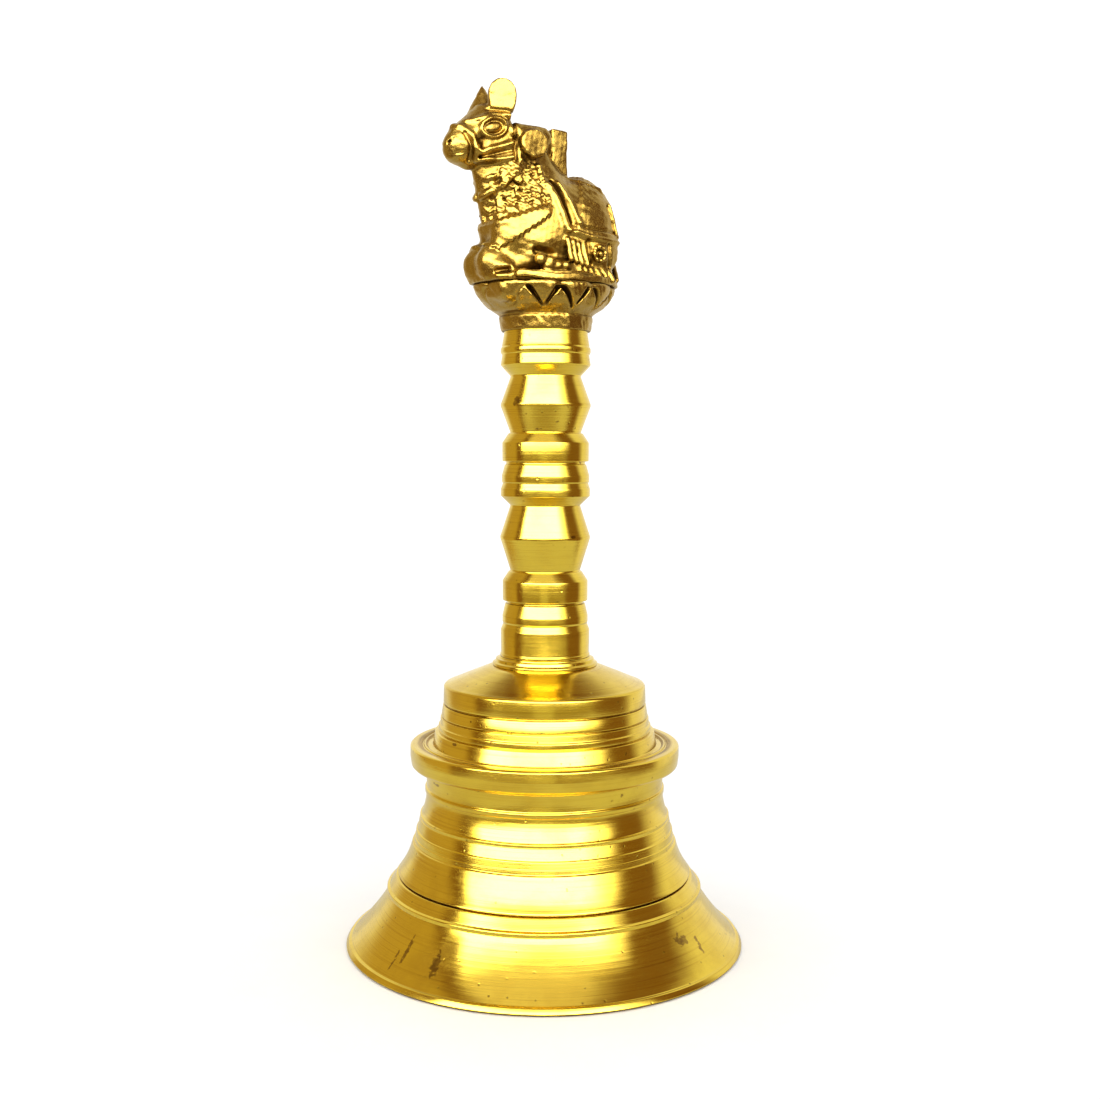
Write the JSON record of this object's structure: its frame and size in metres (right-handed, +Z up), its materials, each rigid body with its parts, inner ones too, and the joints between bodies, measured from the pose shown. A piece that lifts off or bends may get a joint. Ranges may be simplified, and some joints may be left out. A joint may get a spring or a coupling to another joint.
{
  "type": "brass puja bell",
  "caption": "Turned brass hand bell with a flared mouth, a ringed grip, a seated bull finial on a lotus base and a hanging clapper.",
  "frame": {"origin": "on the bell's axis, in the plane of its lip", "axes": "+Z up along the handle; the bull faces -X, turned 30 degrees towards -Y"},
  "size_m": [0.07, 0.07, 0.1483],
  "materials": {
    "polished_brass": "lathe-turned and polished",
    "cast_brass": "cast, high spots polished, dark in the recesses",
    "worn_brass": "dull and unpolished",
    "clapper_brass": "turned, worn by striking"
  },
  "bodies": {
    "bell": {"bell_cup": "polished_brass", "handle_seat_ring": "polished_brass", "handle": "polished_brass", "lotus_pedestal": "cast_brass", "nandi": "cast_brass", "finial_stud": "worn_brass", "clapper_eye_bolt": "worn_brass", "crown_washer": "worn_brass", "crown_nut": "worn_brass"},
    "link": {"clapper_link": "worn_brass"},
    "clapper": {"clapper_rod": "worn_brass", "clapper_ball": "clapper_brass"}
  },
  "joints": [
    {"name": "link_swing", "type": "hinge", "parent": "bell", "child": "link", "pos_m": [0, 0, 0.0352], "axis": [0, 1, 0], "range_deg": [-35, 35]},
    {"name": "clapper_swing", "type": "hinge", "parent": "link", "child": "clapper", "pos_m": [0, 0, 0.0302], "axis": [1, 0, 0], "range_deg": [-12, 12]}
  ]
}
